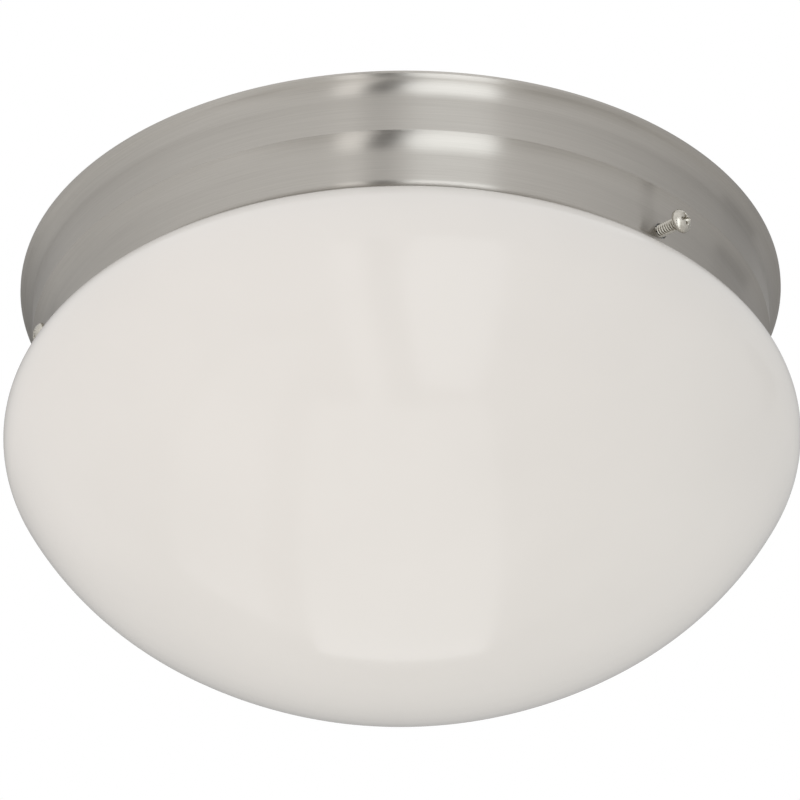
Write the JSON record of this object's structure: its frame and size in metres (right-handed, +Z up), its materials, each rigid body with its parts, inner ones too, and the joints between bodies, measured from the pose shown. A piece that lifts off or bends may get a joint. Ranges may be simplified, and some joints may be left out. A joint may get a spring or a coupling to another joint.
{
  "type": "flush mount ceiling light",
  "caption": "Round flush mount ceiling light: a stepped brushed metal pan and a mushroom opal glass shade held by side screws over lamps.",
  "frame": {"origin": "centre of the pan's rim, in the plane of the ceiling", "axes": "+Z up into the ceiling, X along the line of the mounting slots and of the lamps, -Y towards the pictured side"},
  "size_m": [0.2914, 0.2914, 0.1556],
  "materials": {
    "brushed_pan": "spun steel plated in brushed nickel, brushed round the rim, satin",
    "white_plate": "gloss white reflector enamel on sheet steel",
    "glass_wool": "yellow glass wool pad",
    "bushing": "moulded black nylon",
    "ground_screw": "green dyed zinc plate",
    "bracket": "bright zinc plated strip steel",
    "porcelain": "white glazed electrical porcelain",
    "shell_brass": "drawn brass",
    "zinc_screw": "bright zinc plated steel",
    "fitter_screw": "nickel plated steel",
    "connector": "moulded orange thermoplastic",
    "lead_black": "black insulated stranded lead",
    "lead_white": "white insulated stranded lead",
    "opal_glass": "gloss opal white blown glass",
    "lamp_glass": "inside frosted lamp glass",
    "lamp_cap": "rolled aluminium screw cap",
    "lamp_insulator": "black vitrite",
    "lamp_solder": "tin solder"
  },
  "bodies": {
    "root": {"pan": "brushed_pan", "back_plate": "white_plate", "insulation_pad": "glass_wool", "wire_bushing": "bushing", "ground_screw": "ground_screw", "holder_bracket_1": "bracket", "holder_bracket_2": "bracket", "lampholder_1": "porcelain", "lampholder_2": "porcelain", "screw_shell_1": "shell_brass", "screw_shell_2": "shell_brass", "centre_contact_1": "shell_brass", "centre_contact_2": "shell_brass", "holder_screws": "zinc_screw", "bracket_rivets": "zinc_screw", "fitter_nuts": "zinc_screw", "wire_connectors": "connector", "black_leads": "lead_black", "white_leads": "lead_white"},
    "shade": {"shade": "opal_glass"},
    "fitter_screw_1": {"fitter_screw_1": "fitter_screw"},
    "fitter_screw_2": {"fitter_screw_2": "fitter_screw"},
    "fitter_screw_3": {"fitter_screw_3": "fitter_screw"},
    "lamp_1": {"lamp_envelope_1": "lamp_glass", "lamp_cap_1": "lamp_cap", "lamp_insulator_1": "lamp_insulator", "lamp_contact_1": "lamp_solder"},
    "lamp_2": {"lamp_envelope_2": "lamp_glass", "lamp_cap_2": "lamp_cap", "lamp_insulator_2": "lamp_insulator", "lamp_contact_2": "lamp_solder"}
  },
  "joints": [
    {"name": "shade_drop", "type": "slide", "parent": "root", "child": "shade", "axis": [0, 0, -1], "range_m": [0, 0.12]},
    {"name": "fitter_screw_1_travel", "type": "slide", "parent": "root", "child": "fitter_screw_1", "axis": [0.697, -0.7118, -0.0872], "range_m": [-0.0085, 0.001]},
    {"name": "fitter_screw_2_travel", "type": "slide", "parent": "root", "child": "fitter_screw_2", "axis": [0.2679, 0.9595, -0.0872], "range_m": [-0.0019, 0.0065]},
    {"name": "fitter_screw_3_travel", "type": "slide", "parent": "root", "child": "fitter_screw_3", "axis": [-0.9649, -0.2477, -0.0872], "range_m": [-0.0019, 0.0065]},
    {"name": "lamp_1_release", "type": "slide", "parent": "root", "child": "lamp_1", "axis": [-1, 0, 0], "range_m": [0, 0.027]},
    {"name": "lamp_2_release", "type": "slide", "parent": "root", "child": "lamp_2", "axis": [1, 0, 0], "range_m": [0, 0.027]}
  ]
}
